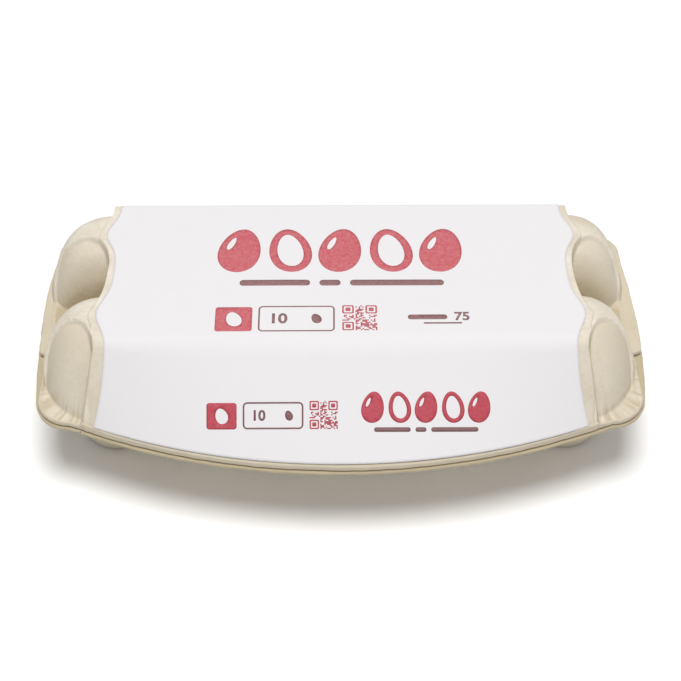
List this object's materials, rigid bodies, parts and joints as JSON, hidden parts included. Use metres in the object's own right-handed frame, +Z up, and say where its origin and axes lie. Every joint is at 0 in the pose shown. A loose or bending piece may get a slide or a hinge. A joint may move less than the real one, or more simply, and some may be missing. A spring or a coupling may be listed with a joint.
{
  "type": "egg carton",
  "caption": "Shut moulded pulp egg carton with a raised lid, egg domes at its ends, a bowed front, cupped tray feet and a white paper label.",
  "frame": {"origin": "on the surface the carton stands on, under the middle of its outline seen from above", "axes": "+X along the rows of eggs, +Y from the bowed front to the hinge at the back, +Z up"},
  "size_m": [0.2644, 0.142, 0.072],
  "materials": {
    "pulp": "matte",
    "paper": "satin"
  },
  "bodies": {
    "root": {"carton": "pulp", "label": "paper"}
  },
  "joints": []
}
